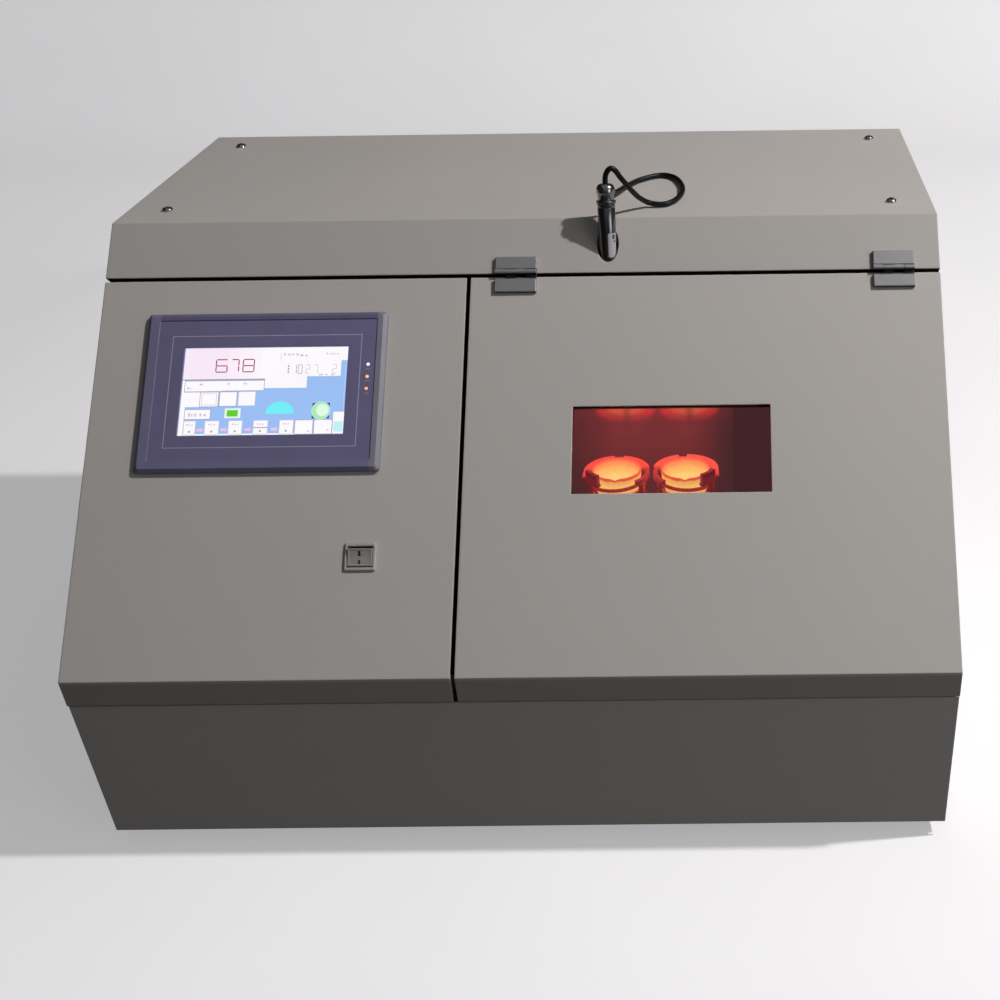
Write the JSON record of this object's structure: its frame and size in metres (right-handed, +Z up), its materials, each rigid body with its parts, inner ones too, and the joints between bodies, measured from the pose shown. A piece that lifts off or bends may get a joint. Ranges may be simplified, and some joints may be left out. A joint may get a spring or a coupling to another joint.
{
  "type": "crucible fusion furnace",
  "caption": "Bench induction furnace that melts samples in lipped porcelain crucibles on a rocking carriage behind a hinged window door, with a touch screen.",
  "frame": {"origin": "bottom centre of the footprint, on the ground", "axes": "+Z up, the sloped front faces -Y, +X to the right seen from the front"},
  "size_m": [0.8, 0.604, 0.5697],
  "materials": {
    "powder_coat": "fine-textured warm light grey powder coat",
    "liner_steel": "heat-tinted stainless sheet",
    "polished_steel": "polished stainless plate",
    "satin_zinc": "satin zinc-plated hinge",
    "screw_chrome": "bright dome-head screw",
    "rubber": "matt black rubber",
    "bezel_plastic": "dark slate moulded bezel",
    "screen_glass": "lit touch screen",
    "switch_plastic": "warm grey switch plastic",
    "black_plastic": "black moulded plastic",
    "window_glass": "heat-resistant clear glass",
    "brushed_steel": "turned stainless steel",
    "cable_rubber": "black cable jacket",
    "coil_copper": "copper tube",
    "holder_ceramic": "refractory ceramic, glowing dull red",
    "porcelain": "glazed porcelain, glowing from the heat",
    "module_grey": "grey painted module case",
    "aluminium": "plain aluminium case",
    "brass": "machined brass"
  },
  "bodies": {
    "cabinet": {"base_front_panel": "powder_coat", "bottom_plate": "powder_coat", "side_panel_left": "powder_coat", "side_panel_right": "powder_coat", "rear_panel": "powder_coat", "top_cover": "powder_coat", "front_frame": "powder_coat", "partition_wall": "powder_coat", "control_panel": "powder_coat", "chamber_liner": "liner_steel", "reflector_plate": "polished_steel", "hinge_leaf_left_fixed": "satin_zinc", "hinge_pin_left": "satin_zinc", "carriage_bracket_left": "brushed_steel", "foot_front_left": "rubber", "cover_screw_front_left": "screw_chrome", "foot_rear_left": "rubber", "cover_screw_rear_left": "screw_chrome", "hinge_leaf_right_fixed": "satin_zinc", "hinge_pin_right": "satin_zinc", "carriage_bracket_right": "brushed_steel", "foot_front_right": "rubber", "cover_screw_front_right": "screw_chrome", "foot_rear_right": "rubber", "cover_screw_rear_right": "screw_chrome", "hmi_bezel": "bezel_plastic", "hmi_screen": "screen_glass", "hmi_rear_case": "black_plastic", "switch_bezel": "switch_plastic", "pyrometer_body": "brushed_steel", "pyrometer_nut": "brushed_steel", "pyrometer_gland": "brushed_steel", "pyrometer_cable": "cable_rubber", "cable_bush": "rubber", "rocking_gearmotor": "aluminium", "induction_generator": "module_grey", "power_supply": "aluminium", "controller_module": "module_grey", "cooling_fan_frame": "black_plastic", "power_inlet": "black_plastic", "water_inlet": "brass", "water_outlet": "brass"},
    "furnace_door": {"furnace_door": "powder_coat", "window_glass": "window_glass", "window_frame": "brushed_steel", "hinge_leaf_left_door": "satin_zinc", "hinge_leaf_right_door": "satin_zinc"},
    "switch_rocker": {"switch_rocker": "switch_plastic"},
    "fan_rotor": {"fan_rotor": "black_plastic"},
    "carriage": {"carriage_plate": "brushed_steel", "carriage_shaft": "brushed_steel", "coil_left": "coil_copper", "coil_right": "coil_copper", "collar_left": "holder_ceramic", "collar_right": "holder_ceramic", "holder_ring_left": "holder_ceramic", "holder_ring_right": "holder_ceramic"},
    "crucible_left": {"crucible_left": "porcelain"},
    "crucible_right": {"crucible_right": "porcelain"}
  },
  "joints": [
    {"name": "door_hinge", "type": "hinge", "parent": "cabinet", "child": "furnace_door", "pos_m": [0, -0.0333, 0.47923], "axis": [-1, 0, 0], "range_deg": [0, 110]},
    {"name": "switch_rock", "type": "hinge", "parent": "cabinet", "child": "switch_rocker", "pos_m": [-0.1386, -0.22273, 0.28173], "axis": [-1, 0, 0], "range_deg": [0, 16]},
    {"name": "fan_spin", "type": "hinge", "parent": "cabinet", "child": "fan_rotor", "pos_m": [-0.23, 0.276, 0.12], "axis": [0, 1, 0], "continuous": true},
    {"name": "carriage_rock", "type": "hinge", "parent": "cabinet", "child": "carriage", "pos_m": [0.1165, -0.07451, 0.22226], "axis": [1, 0, 0], "range_deg": [-9.5, 20.5]},
    {"name": "crucible_left_lift", "type": "slide", "parent": "carriage", "child": "crucible_left", "axis": [0, 0.0958, 0.9954], "range_m": [0, 0.065]},
    {"name": "crucible_right_lift", "type": "slide", "parent": "carriage", "child": "crucible_right", "axis": [0, 0.0958, 0.9954], "range_m": [0, 0.065]}
  ]
}
